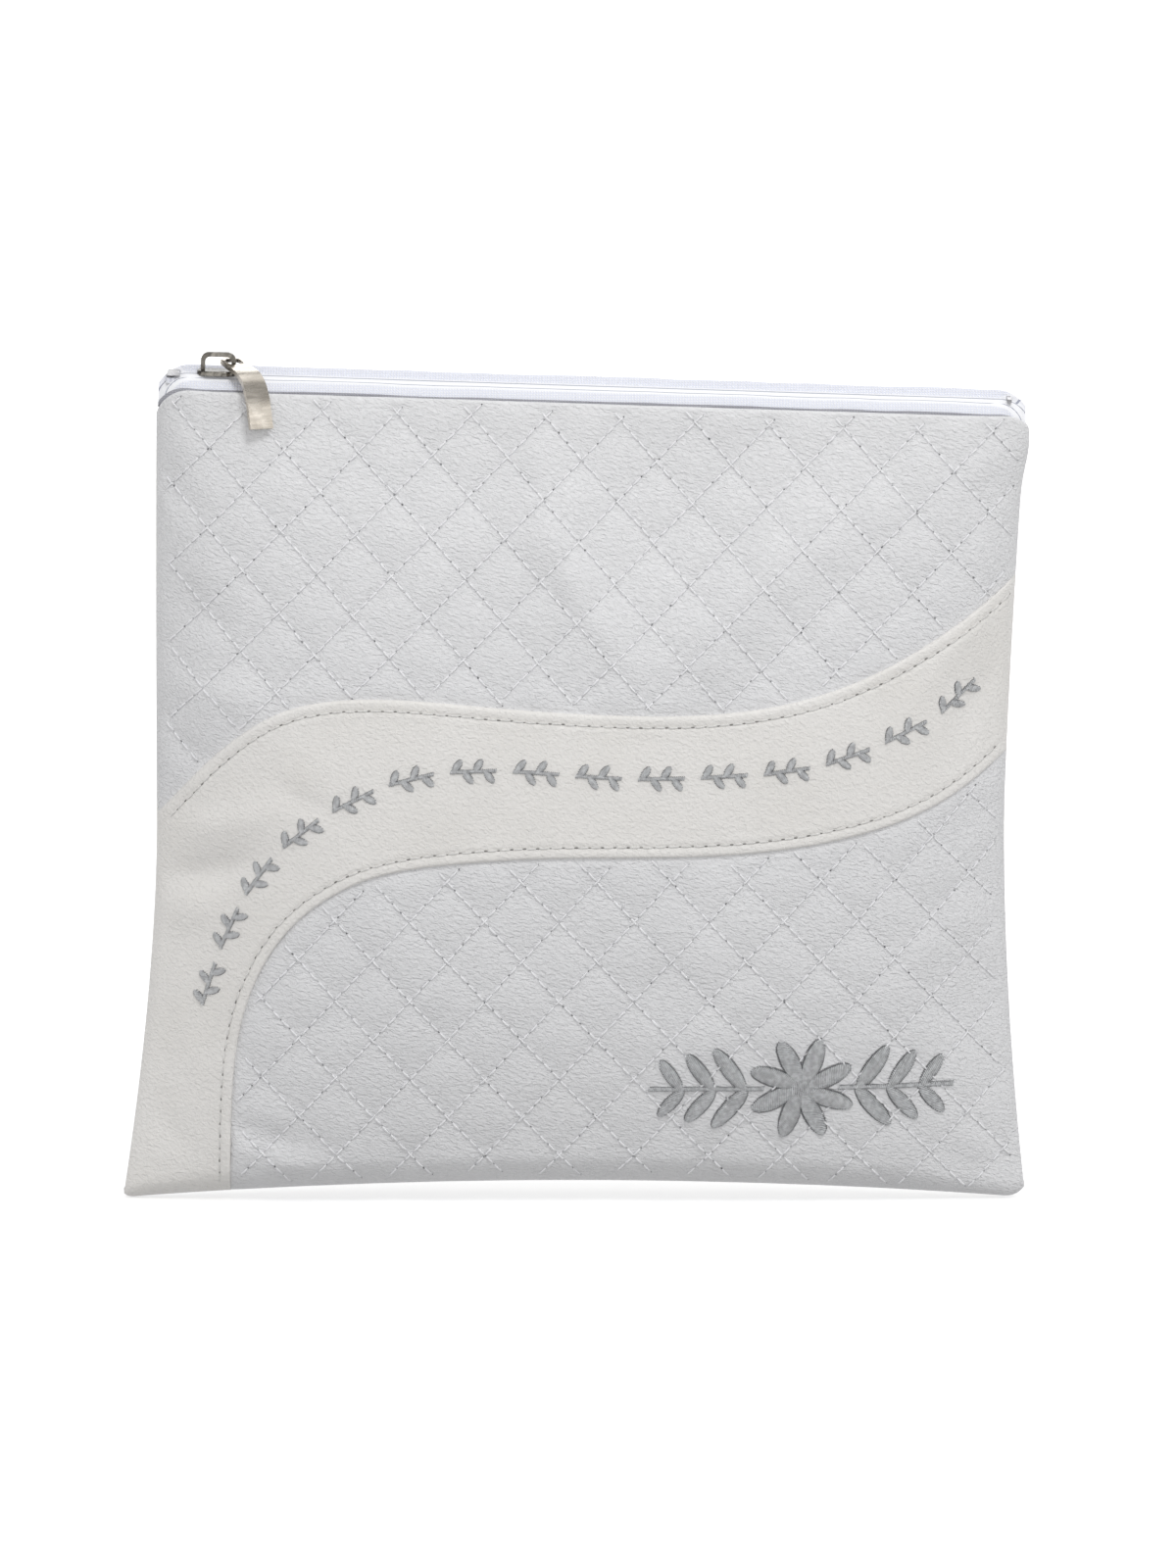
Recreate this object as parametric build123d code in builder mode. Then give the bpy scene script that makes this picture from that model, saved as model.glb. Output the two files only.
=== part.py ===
"""Stuffed, zip-topped pouch of quilted leatherette with a wavy smooth band across its front.

All sizes are in millimetres. The pouch stands on its bottom seam with its front facing -Y.
+X is to the right, +Z is up, and the origin is the middle of the foot.
"""

import os
from math import atan2, cos, degrees, pi, radians, sin, tan

from build123d import *

os.makedirs("parts", exist_ok=True)

# ---- pouch ----
ZIP_HEIGHT = 221.0  # outer face of the zip tape above the floor, at x = 0
ZIP_SLOPE = 1.85  # degrees, the zip runs down to the right
WAIST_HEIGHT = 105.0  # the narrowest place of the pulled-in sides
BELLY_HALF = 24.0  # half of the stuffed thickness
MOUTH_HALF = 8.6  # half of the thickness at the zip and at the foot
EDGE_HALF = 2.2  # half of the thickness at the side seams
FOLD_DROP = 3.4  # the leather's folded top edge below the zip tape

# ---- layers, measured from the quilted leather's outer face ----
LEATHER = 1.0
BAND_RISE = 0.6  # the band's folded leather stands this proud
FOAM = 3.0
LINING = 0.4
TAPE = 0.7
FOAM_DROP = 12.0  # the foam stops this far below the zip tape

# ---- stitches and embroidery ----
THREAD = 0.3
STITCH_INSET = 3.0  # from the band's edge to the middle of its stitches
STITCH_WIDTH = 0.6
STITCH_FOOT = 2.0  # the lowest stitch stays this far above the floor
MOTIF_AT = (60, 33.5)

# ---- zip ----
LANE_HALF = 0.5  # half of the gap between the two rows of the zip
TAPE_FLAT = 4.8  # the tape lies flat this far from the middle, then slopes to the leather
LEG_DROP = 2.6  # below here the tape hangs flat between the leather and the lining
ZIP_LEFT = -113.0
ZIP_RIGHT = 118.0
COIL_WIDTH = 2.3
COIL_HEIGHT = 1.4
COIL_PITCH = 1.3

# ---- slider and puller ----
SLIDER_X = -96.5  # the slider's middle at rest, along the zip
SLIDER_LENGTH = 10.6
SLIDER_WIDTH = 7.8
PLATE = 1.2
PLATE_GAP = 0.3  # free space between the tape or the coil and each plate
POST_HALF = 0.32
CROWN_LENGTH = 9.4
CROWN_HEIGHT = 4.8
CROWN_WIDTH = 1.8
CROWN_STRAP = 1.2
LEG_X = 4.5  # the crown's right leg, from the slider's middle
PIVOT_HEIGHT = 3.45  # the puller's eye on that leg, above the zip tape
PULLER_WIDTH = 6.8
PULLER_THICKNESS = 1.1
PULLER_LEAN = 30.0  # degrees, the hanging puller points this much to the right
EYE_WIDTH = 4.6
EYE_BACK = 1.9
EYE_FRONT = 2.2
EYE_DIP = 14.0  # degrees, the eye lies this far from level at rest

slope = tan(radians(ZIP_SLOPE))
zip_plane = Plane(
    origin=(0, 0, ZIP_HEIGHT),
    x_dir=(cos(radians(ZIP_SLOPE)), 0, -sin(radians(ZIP_SLOPE))),
    z_dir=(sin(radians(ZIP_SLOPE)), 0, cos(radians(ZIP_SLOPE))),
)

# The band's edges from left to right as (x, z), each carried past the pouch's sides.
BAND_TOP = [
    (-136, 84), (-114, 105), (-97, 123.5), (-78, 136.4), (-62, 139.6), (-39, 139.2), (-14, 137),
    (12, 135.6), (39, 136.1), (62, 140.1), (85, 149.2), (106, 162.3), (121, 173.8), (136, 186.3),
]  # fmt: skip
BAND_BOTTOM = [
    (-94.2, -8), (-93.4, 20), (-90.5, 50), (-84.5, 66.3), (-76, 78.3), (-65, 87), (-53, 92.3),
    (-37, 95.2), (-14, 97), (12, 97.4), (39, 98), (62, 100.5), (83, 105.2), (101, 113), (117, 124.8),
    (136, 139.8),
]  # fmt: skip
ROW_PATH = [
    (-101.5, 53.5), (-92.5, 79), (-80.5, 97.5), (-64, 110.5), (-42.5, 119.2), (-16, 120.8),
    (12, 119), (39, 119.5), (65, 122.5), (86, 130), (97.5, 136.3), (107.5, 145.5),
]  # fmt: skip


def on_zip(x, height, x_dir=(1, 0, 0), z_dir=(0, 0, 1)):
    """A plane over the zip's middle line, with its directions given along, across and off the zip."""
    plane = Plane(origin=(x, 0, height), x_dir=x_dir, z_dir=z_dir)
    return Plane(zip_plane.location * plane.location)


def left_side(z):
    """The left side seam's x at height z."""
    low = max(0.0, 1 - z / WAIST_HEIGHT)
    high = max(0.0, z / WAIST_HEIGHT - 1)
    return -114.5 - 9.5 * low**2 - 2.4 * high**2


def right_side(z):
    """The right side seam's x at height z."""
    low = max(0.0, 1 - z / WAIST_HEIGHT)
    high = max(0.0, z / WAIST_HEIGHT - 1)
    return 116.9 + 4.9 * low**2 + 5.8 * high**1.3


def half_depth(x, z):
    """Half of the stuffed thickness at (x, z)."""
    middle = (left_side(z) + right_side(z)) / 2
    u = abs(x - middle) / (right_side(z) - middle)
    v = min(1.0, max(0.0, z / (ZIP_HEIGHT - x * slope)))
    power = 4 + 16 * v**4
    fullness = 1 - u**power if u < 1 else power * (1 - u)
    crown = MOUTH_HALF + (BELLY_HALF - MOUTH_HALF) * sin(pi * v**0.8)
    return EDGE_HALF + (crown - EDGE_HALF) * fullness


def lining_depth(x, z):
    """How far the lining's outer face lies inside the leather's outer face: closer near the zip."""
    drop = ZIP_HEIGHT - x * slope - z
    share = min(1.0, max(0.0, (drop - FOAM_DROP) / 16))
    return LEATHER + TAPE + (FOAM - TAPE) * (3 - 2 * share) * share**2


def skin(depth):
    """The front's outer face moved inwards by depth(x, z), as one smooth face."""
    xs = [-130, -126, -122, -118, -114, -110, -105, -98, *range(-88, 93, 15)]
    xs += [98, 105, 110, 114, 118, 122, 126, 130]
    zs = [-6, 0, 3, 8, 16, 28, 44, 62, 82, 102, 122, 142, 160, 176, 190, 202, 210, 217, 223, 230]
    return Face.make_surface_from_array_of_points(
        [[Vector(x, depth(x, z) - half_depth(x, z), z) for z in zs] for x in xs],
        tol=0.05,
        min_deg=3,
        max_deg=3,
    )


def outline(inset, top, radius):
    """The pouch's front outline, inset at the sides and the foot, up to top above the zip tape."""
    heights = [inset, 12, 28, 48, 70, 90, 110, 130, 150, 170, 188, 202]
    left_top = ZIP_HEIGHT + top - (left_side(220) + inset) * slope
    right_top = ZIP_HEIGHT + top - (right_side(220) - inset) * slope
    with BuildSketch(Plane.XZ) as shape:
        with BuildLine():
            left = Spline(*[(left_side(z) + inset, z) for z in (*heights, left_top)])
            right = Spline(*[(right_side(z) - inset, z) for z in (*heights, right_top)])
            Line(left @ 0, right @ 0)
            Line(left @ 1, right @ 1)
        make_face()
        corners = shape.vertices().sort_by(Axis.Y)
        fillet(corners[-2:], radius)
    return shape.sketch


def front_half(depth, inset, top, radius=8.0):
    """The front half of the pouch's bulk inside depth, from its skin to the middle plane."""
    with BuildPart() as half:
        extrude(outline(inset, top, radius), amount=60)
        extrude(skin(depth), amount=90, dir=(0, 1, 0), mode=Mode.INTERSECT)
    return half.part


def below_zip(drop):
    """The large block lying lower than drop below the zip tape."""
    with BuildPart(zip_plane.offset(-drop)) as block:
        Box(300, 100, 300, align=(Align.CENTER, Align.CENTER, Align.MAX))
    return block.part


def band_region():
    """The band's shape in the front view."""
    with BuildSketch(Plane.XZ) as region:
        with BuildLine():
            upper = Spline(*BAND_TOP)
            lower = Spline(*BAND_BOTTOM)
            Polyline(upper @ 0, (-136, -8), lower @ 0)
            Line(upper @ 1, lower @ 1)
        make_face()
    return region.sketch


def stitch_line(edge_points, side):
    """A narrow strip following the band's edge, STITCH_INSET from it, above it or below it."""
    with BuildLine(Plane.XZ):
        edge = Spline(*edge_points)
    with BuildSketch(Plane.XZ) as strip:
        with BuildLine():
            sides = []
            for inset in (STITCH_INSET - STITCH_WIDTH / 2, STITCH_INSET + STITCH_WIDTH / 2):
                row = []
                for n in range(41):
                    at = edge.position_at(n / 40)
                    way = edge.tangent_at(n / 40)
                    row.append((at.X - side * inset * way.Z, at.Z + side * inset * way.X))
                sides.append(Spline(*row))
            Line(sides[0] @ 0, sides[1] @ 0)
            Line(sides[0] @ 1, sides[1] @ 1)
        make_face()
    return strip.sketch


def leaf(length, width, at, turn):
    """One pointed leaf of satin stitch, its root at the place at and its tip towards turn."""
    with Locations(Location((*at, 0), (0, 0, turn))):
        with Locations((length / 2, 0)):
            Ellipse(length / 2, width / 2)


def sprig_row():
    """Small leafy sprigs, one after another along the band."""
    with BuildLine(Plane.XZ):
        path = Spline(*ROW_PATH)
    with BuildSketch(Plane.XZ) as row:
        for n in range(15):
            at = path.position_at((n + 0.5) / 15)
            way = path.tangent_at((n + 0.5) / 15)
            turn = degrees(atan2(way.Z, way.X))
            with Locations(Location((at.X, at.Z, 0), (0, 0, turn))):
                SlotOverall(12.6, 0.9)
                for x, side in ((-5.6, 1), (-2.8, -1), (0, 1), (2.8, -1)):
                    leaf(3.6, 1.9, (x, 0), 48 * side)
    return row.sketch


def corner_motif():
    """A rosette of eight petals with a leafy stem to each side."""
    with BuildSketch(Plane.XZ) as motif:
        with Locations(MOTIF_AT):
            Circle(3.2)
            for n in range(8):
                leaf(14.5, 6.0, (0, 0), 45 * n + 22.5)
            for side in (-1, 1):
                with Locations((side * 25.5, 0)):
                    SlotOverall(31, 1.4)
                for n in range(3):
                    foot = side * (15 + 8.5 * n)
                    lean = 90 - side * 38
                    leaf(14 - 2 * n, 5.0 - 0.5 * n, (foot, 0), lean)
                    leaf(14 - 2 * n, 5.0 - 0.5 * n, (foot, 0), -lean)
    return motif.sketch


# ---- the bulk inside each layer, front half ----
proud_bulk = front_half(lambda x, z: -BAND_RISE - THREAD, 0, -FOLD_DROP)
band_bulk = front_half(lambda x, z: -BAND_RISE, 0, -FOLD_DROP)
thread_bulk = front_half(lambda x, z: -THREAD, 0, -FOLD_DROP)
leather_bulk = front_half(lambda x, z: 0, 0, -FOLD_DROP)
foam_bulk = front_half(lambda x, z: LEATHER, LEATHER, 4)
lining_bulk = front_half(lining_depth, LEATHER + FOAM, -LEG_DROP, 3.0)
inner_bulk = front_half(
    lambda x, z: lining_depth(x, z) + LINING, LEATHER + FOAM + LINING, -LEG_DROP, 2.6
)

with BuildPart() as band_space:
    extrude(band_region(), amount=60)

# ---- leather panels ----
with BuildPart() as leather_shell:
    add(leather_bulk)
    add(foam_bulk, mode=Mode.SUBTRACT)

with BuildPart() as quilted_panels:
    add(leather_shell.part)
    add(band_space.part, mode=Mode.SUBTRACT)
lower_solid, *_, upper_solid = quilted_panels.solids().sort_by(Axis.Z)

with BuildPart() as front_lower_panel:
    add(lower_solid)

with BuildPart() as front_upper_panel:
    add(upper_solid)

with BuildPart() as front_band:
    add(band_bulk)
    add(foam_bulk, mode=Mode.SUBTRACT)
    add(band_space.part, mode=Mode.INTERSECT)

with BuildPart() as back_panel:
    add(leather_shell.part)
    mirror(about=Plane.XZ, mode=Mode.REPLACE)

# ---- foam and lining ----
with BuildPart() as front_foam:
    add(foam_bulk)
    add(lining_bulk, mode=Mode.SUBTRACT)
    add(below_zip(FOAM_DROP), mode=Mode.INTERSECT)

with BuildPart() as back_foam:
    add(front_foam.part)
    mirror(about=Plane.XZ, mode=Mode.REPLACE)

with BuildPart() as front_lining:
    add(lining_bulk)
    add(inner_bulk, mode=Mode.SUBTRACT)
    add(below_zip(FOLD_DROP), mode=Mode.INTERSECT)

with BuildPart() as back_lining:
    add(front_lining.part)
    mirror(about=Plane.XZ, mode=Mode.REPLACE)

# ---- embroidery and topstitching, lying on the leather ----
with BuildPart() as corner_embroidery:
    add(thread_bulk)
    add(leather_bulk, mode=Mode.SUBTRACT)
    extrude(corner_motif(), amount=60, mode=Mode.INTERSECT)

with BuildPart() as band_layer:
    add(proud_bulk)
    add(band_bulk, mode=Mode.SUBTRACT)
    split(bisect_by=Plane.XY.offset(STITCH_FOOT), keep=Keep.TOP)

with BuildPart() as band_embroidery:
    add(band_layer.part)
    extrude(sprig_row(), amount=60, mode=Mode.INTERSECT)

with BuildPart() as band_stitch_upper:
    add(band_layer.part)
    extrude(stitch_line(BAND_TOP, -1), amount=60, mode=Mode.INTERSECT)

with BuildPart() as band_stitch_lower:
    add(band_layer.part)
    extrude(stitch_line(BAND_BOTTOM, 1), amount=60, mode=Mode.INTERSECT)

# ---- zip tapes and coils ----
zip_start = on_zip(ZIP_LEFT, 0, (0, 1, 0), (1, 0, 0))
with BuildPart() as zip_tape_front:
    with BuildSketch(zip_start):
        with BuildLine():
            Polyline(
                (-LANE_HALF, 0),
                (-TAPE_FLAT, 0),
                (-TAPE_FLAT - 4.8, -4.3),
                (-TAPE_FLAT - 4.8, -5.3),
                (-TAPE_FLAT + 0.26, -TAPE),
                (-LANE_HALF, -TAPE),
                close=True,
            )
        make_face()
    extrude(amount=ZIP_RIGHT - ZIP_LEFT)
    with BuildSketch(zip_plane.offset(-FOAM_DROP)):
        Rectangle(300, 60)
    extrude(amount=FOAM_DROP - LEG_DROP - 0.1)
    add(foam_bulk, mode=Mode.INTERSECT)
    add(lining_bulk, mode=Mode.SUBTRACT)

with BuildPart() as zip_tape_back:
    add(zip_tape_front.part)
    mirror(about=Plane.XZ, mode=Mode.REPLACE)

coil_length = ZIP_RIGHT - ZIP_LEFT - 6
with BuildPart(zip_plane.offset(-TAPE)) as zip_coil_front:
    with Locations(((ZIP_LEFT + ZIP_RIGHT) / 2, -LANE_HALF - COIL_WIDTH / 2)):
        Box(coil_length, 1.2, COIL_HEIGHT * 0.7, align=(Align.CENTER, Align.CENTER, Align.MAX))
        with GridLocations(COIL_PITCH, 1, int(coil_length / COIL_PITCH), 1):
            Box(0.75, COIL_WIDTH, COIL_HEIGHT, align=(Align.CENTER, Align.CENTER, Align.MAX))

with BuildPart() as zip_coil_back:
    add(zip_coil_front.part)
    mirror(about=Plane.XZ, mode=Mode.REPLACE)

# ---- stops, each clamped through the lane between the tapes ----
chain_height = TAPE + COIL_HEIGHT
with BuildPart(zip_plane) as zip_top_stop:
    with Locations((-108, 0, 0)):
        stop_bar = Box(3.6, 6.4, 0.9, align=(Align.CENTER, Align.CENTER, Align.MIN))
        fillet(stop_bar.edges().filter_by(Axis.Y).sort_by(Axis.Z)[-2:], 0.6)
        Box(3.6, 0.8, chain_height, align=(Align.CENTER, Align.CENTER, Align.MAX))
    with Locations((-108, 0, -chain_height)):
        Box(3.6, 5.4, 0.45, align=(Align.CENTER, Align.CENTER, Align.MAX))

with BuildPart(zip_plane) as zip_bottom_stop:
    with Locations((115.2, 0, 0)):
        Box(1.2, 7.0, 0.8, align=(Align.CENTER, Align.CENTER, Align.MIN))
        Box(1.2, 0.8, chain_height, align=(Align.CENTER, Align.CENTER, Align.MAX))
    with Locations((115.2, 0, -chain_height)):
        Box(1.2, 5.4, 0.45, align=(Align.CENTER, Align.CENTER, Align.MAX))

# ---- slider ----
slider_plane = on_zip(SLIDER_X, 0)
plate_top = PLATE_GAP + PLATE
lower_plate = -chain_height - PLATE_GAP - PLATE
with BuildPart(slider_plane) as slider_body:
    with BuildSketch(slider_plane.offset(PLATE_GAP)):
        RectangleRounded(SLIDER_LENGTH, SLIDER_WIDTH, 3.6)
    extrude(amount=PLATE)
    fillet(slider_body.edges().group_by(Axis.Z)[-1], 0.4)
    with BuildSketch(slider_plane.offset(lower_plate)):
        RectangleRounded(SLIDER_LENGTH - 0.6, SLIDER_WIDTH, 3.4)
    extrude(amount=PLATE)
    with Locations((-2.9, 0, PLATE_GAP)):
        post_height = PLATE_GAP * 2 + chain_height
        Box(3.4, 2 * POST_HALF, post_height, align=(Align.CENTER, Align.CENTER, Align.MAX))
    with Locations((0, 3.5, lower_plate + PLATE), (0, -3.5, lower_plate + PLATE)):
        Box(6, 0.7, 1.4, align=(Align.CENTER, Align.CENTER, Align.MIN))

crown_x = LEG_X + CROWN_STRAP / 2 - CROWN_LENGTH / 2
crown_side = on_zip(SLIDER_X + crown_x, plate_top, (1, 0, 0), (0, -1, 0))
with BuildPart() as slider_crown:
    with BuildSketch(crown_side):
        arch = Rectangle(CROWN_LENGTH, CROWN_HEIGHT, align=(Align.CENTER, Align.MIN))
        fillet(arch.vertices().sort_by(Axis.Y)[-2:], 2.2)
        with BuildSketch(crown_side, mode=Mode.SUBTRACT):
            gap = Rectangle(
                CROWN_LENGTH - 2 * CROWN_STRAP,
                CROWN_HEIGHT - CROWN_STRAP,
                align=(Align.CENTER, Align.MIN),
            )
            fillet(gap.vertices().sort_by(Axis.Y)[-2:], 1.3)
    extrude(amount=CROWN_WIDTH / 2, both=True)

# ---- puller, its eye around the crown's right leg ----
lean = radians(PULLER_LEAN)
hang_dir = (sin(lean), -cos(lean), 0)
puller_side = on_zip(SLIDER_X + LEG_X, PIVOT_HEIGHT, hang_dir, (-cos(lean), -sin(lean), 0))
dip = radians(EYE_DIP)
eye_plane = on_zip(
    SLIDER_X + LEG_X,
    PIVOT_HEIGHT,
    (sin(lean) * cos(dip), -cos(lean) * cos(dip), -sin(dip)),
    (sin(lean) * sin(dip), -cos(lean) * sin(dip), cos(dip)),
)
with BuildPart() as puller_tab:
    with BuildSketch(puller_side):
        with BuildLine():
            spine = Spline(
                (-3.0, 0.74),
                (0, 0),
                (3.8, -0.95),
                (8.4, -2.1),
                (11.6, -4.5),
                (13.8, -8.0),
                (15.2, -12.0),
                (16.3, -15.6),
            )
        trace(line_width=PULLER_THICKNESS)
    extrude(amount=PULLER_WIDTH / 2, both=True)
    corners = puller_tab.edges().filter_by(lambda e: abs(e.length - PULLER_THICKNESS) < 0.02)
    corners = corners.sort_by(Axis.Z)
    fillet(corners[-2:], 2.4)
    with BuildSketch(eye_plane):
        with Locations(((EYE_FRONT - EYE_BACK) / 2, 0)):
            RectangleRounded(EYE_FRONT + EYE_BACK, EYE_WIDTH, 1.2)
    extrude(amount=2, both=True, mode=Mode.SUBTRACT)

pieces = {
    "front_upper_panel": front_upper_panel,
    "front_band": front_band,
    "front_lower_panel": front_lower_panel,
    "back_panel": back_panel,
    "front_foam": front_foam,
    "back_foam": back_foam,
    "front_lining": front_lining,
    "back_lining": back_lining,
    "band_stitch_upper": band_stitch_upper,
    "band_stitch_lower": band_stitch_lower,
    "band_embroidery": band_embroidery,
    "corner_embroidery": corner_embroidery,
    "zip_tape_front": zip_tape_front,
    "zip_tape_back": zip_tape_back,
    "zip_coil_front": zip_coil_front,
    "zip_coil_back": zip_coil_back,
    "zip_top_stop": zip_top_stop,
    "zip_bottom_stop": zip_bottom_stop,
    "slider_body": slider_body,
    "slider_crown": slider_crown,
    "puller_tab": puller_tab,
}
for name, piece in pieces.items():
    piece.part.label = name
    export_step(piece.part, f"parts/{name}.step")
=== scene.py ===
"""Looks of a stuffed zip pouch: quilted leatherette, a smooth wavy band, satin-stitch embroidery,
woven zip tapes and a metal slider. Shapes are worked out in millimetres and built in metres."""

import math

import bpy
import numpy as np
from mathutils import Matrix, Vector
from mathutils.bvhtree import BVHTree


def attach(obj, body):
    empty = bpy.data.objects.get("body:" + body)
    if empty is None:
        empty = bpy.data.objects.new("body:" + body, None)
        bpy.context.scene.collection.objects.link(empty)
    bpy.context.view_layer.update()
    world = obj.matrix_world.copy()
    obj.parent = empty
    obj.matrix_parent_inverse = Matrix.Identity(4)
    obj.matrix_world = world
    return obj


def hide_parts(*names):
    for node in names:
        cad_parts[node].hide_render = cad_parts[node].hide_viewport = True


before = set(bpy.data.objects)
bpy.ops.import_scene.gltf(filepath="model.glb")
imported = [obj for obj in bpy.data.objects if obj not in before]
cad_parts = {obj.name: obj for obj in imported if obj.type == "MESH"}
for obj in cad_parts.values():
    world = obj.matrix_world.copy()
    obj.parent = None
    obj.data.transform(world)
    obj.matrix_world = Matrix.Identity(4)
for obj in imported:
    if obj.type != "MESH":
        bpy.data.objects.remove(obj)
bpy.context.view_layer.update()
scene = bpy.context.scene
scene.view_settings.view_transform = "Standard"
MM = 0.001

# -------------------------------- the pouch's shape, as in the CAD
ZIP_TILT = math.radians(1.85)  # the zip runs down to the right
SLOPE = math.tan(ZIP_TILT)
MOUTH = 221  # height of the zip over the origin
FOLD_DROP = 3.4  # the leather's fold lies this far below the zip
BAND_TOP = [
    (-136, 84), (-114, 105), (-97, 123.5), (-78, 136.4), (-62, 139.6), (-39, 139.2), (-14, 137),
    (12, 135.6), (39, 136.1), (62, 140.1), (85, 149.2), (106, 162.3), (121, 173.8), (136, 186.3),
]  # fmt: skip
BAND_BOTTOM = [
    (-94.2, -8), (-93.4, 20), (-90.5, 50), (-84.5, 66.3), (-76, 78.3), (-65, 87), (-53, 92.3),
    (-37, 95.2), (-14, 97), (12, 97.4), (39, 98), (62, 100.5), (83, 105.2), (101, 113), (117, 124.8),
    (136, 139.8),
]  # fmt: skip
ROW_PATH = [
    (-101.5, 53.5), (-92.5, 79), (-80.5, 97.5), (-64, 110.5), (-42.5, 119.2), (-16, 120.8),
    (12, 119), (39, 119.5), (65, 122.5), (86, 130), (97.5, 136.3), (107.5, 145.5),
]  # fmt: skip
WAIST_LEFT, WAIST_RIGHT = -113.2, 114.6
WAIST = 105  # height where the sides are nearest each other
FOOT_LEFT, FOOT_RIGHT, FOOT_MIDDLE, FOOT_HALF = -124, 121.8, -1.1, 122.9
MOUTH_LEFT, MOUTH_RIGHT = -113.0, 121.6


def left_side(z):
    low, high = np.maximum(0, 1 - z / WAIST), np.maximum(0, z / WAIST - 1)
    return WAIST_LEFT - 10.8 * low**1.7 + 0.6 * high**2


def right_side(z):
    low, high = np.maximum(0, 1 - z / WAIST), np.maximum(0, z / WAIST - 1)
    ear = 1.5 * np.exp(-(((z - 206) / 8.0) ** 2))
    return WAIST_RIGHT + 7.2 * low**1.9 + 5.4 * high**1.3 + ear


def from_side(x, z):
    """Distance from the nearer side seam."""
    return np.minimum(x - left_side(z), right_side(z) - x)


def half_depth(x, z):
    """Half of the stuffed thickness."""
    middle = (left_side(z) + right_side(z)) / 2
    u = np.abs(x - middle) / (right_side(z) - middle)
    v = np.clip(z / (MOUTH - x * SLOPE), 0, 1)
    power = 4 + 16 * v**4
    fullness = np.where(u < 1, 1 - np.minimum(u, 1) ** power, power * (1 - u))
    crown = 8.6 + 15.4 * np.sin(np.pi * v**0.8)
    return 2.2 + (crown - 2.2) * np.maximum(fullness, 0)


def smooth_line(points, count=1600):
    """Points evenly spread along the smooth curve through the given points."""
    p = np.array(points, float)
    t = np.r_[0, np.cumsum(np.hypot(*np.diff(p, axis=0).T))]
    n, h = len(p), np.diff(t)
    a, b = np.eye(n), np.zeros((n, 2))
    for i in range(1, n - 1):
        a[i, i - 1 : i + 2] = h[i - 1], 2 * (h[i - 1] + h[i]), h[i]
        b[i] = 6 * ((p[i + 1] - p[i]) / h[i] - (p[i] - p[i - 1]) / h[i - 1])
    m = np.linalg.solve(a, b)
    s = np.linspace(0, t[-1], count)
    k = np.clip(np.searchsorted(t, s) - 1, 0, n - 2)
    u, w, hk = (s - t[k])[:, None], (t[k + 1] - s)[:, None], h[k][:, None]
    c = (m[k] * w**3 + m[k + 1] * u**3) / (6 * hk)
    c += (p[k] / hk - m[k] * hk / 6) * w + (p[k + 1] / hk - m[k + 1] * hk / 6) * u
    d = np.r_[0, np.cumsum(np.hypot(*np.diff(c, axis=0).T))]
    e = np.linspace(0, d[-1], count)
    return np.c_[np.interp(e, d, c[:, 0]), np.interp(e, d, c[:, 1])]


top_line, bottom_line = smooth_line(BAND_TOP), smooth_line(BAND_BOTTOM)


def away(x, z, line):
    """Distance from each (x, z) to a line of points."""
    q, out = np.c_[np.ravel(x), np.ravel(z)], []
    for n in range(0, len(q), 4000):
        part = q[n : n + 4000]
        near = ((part[:, None, 0] - line[None, :, 0]) ** 2 + (part[:, None, 1] - line[None, :, 1]) ** 2)
        out.append(np.sqrt(near.min(1)))
    return np.concatenate(out).reshape(np.shape(x))


def field(x, z, size, seed):
    """A smooth random field from -1 to 1, its bumps about size millimetres wide."""
    table = np.random.RandomState(seed).uniform(-1, 1, (64, 64))
    gx, gz = x / size + 300, z / size + 300
    ix, iz = np.floor(gx).astype(int), np.floor(gz).astype(int)
    fx, fz = gx - ix, gz - iz
    fx, fz = fx * fx * (3 - 2 * fx), fz * fz * (3 - 2 * fz)
    a = table[ix % 64, iz % 64] * (1 - fx) + table[(ix + 1) % 64, iz % 64] * fx
    b = table[ix % 64, (iz + 1) % 64] * (1 - fx) + table[(ix + 1) % 64, (iz + 1) % 64] * fx
    return a * (1 - fz) + b * fz


def heading(turn):
    """Cosine and sine of an angle in degrees."""
    return math.cos(math.radians(turn)), math.sin(math.radians(turn))


def roll(d, radius):
    """0 at an edge and 1 a radius inside it, round like a turned seam."""
    return np.sqrt(np.maximum(0, 1 - (1 - np.clip(d / radius, 0, 1)) ** 2))


def corner(d, radius):
    """How far a rounded corner cuts in, at distance d from the side."""
    return radius - np.sqrt(np.maximum(0, radius**2 - (radius - np.clip(d, 0, radius)) ** 2))


def foot(x):
    """The bottom seam's height: it arches between the two corners that the pouch stands on."""
    u = np.clip((x - FOOT_MIDDLE) / FOOT_HALF, -1, 1)
    return 5.0 * (1 - u**2) + corner(x - FOOT_LEFT, 3.6) + corner(FOOT_RIGHT - x, 6.5)


def mouth(x):
    """The height of the leather's folded top edge."""
    return MOUTH - FOLD_DROP - x * SLOPE - corner(x - MOUTH_LEFT, 10) - corner(MOUTH_RIGHT - x, 7.5)


CELLS = 40  # points each way in the grid of swelling
GRID_LEFT, GRID_WIDE, GRID_TALL = -126, 252, 226
swell_grid = np.zeros((2, CELLS, CELLS))  # millimetres, front and back, filled by the cloth simulation


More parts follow.
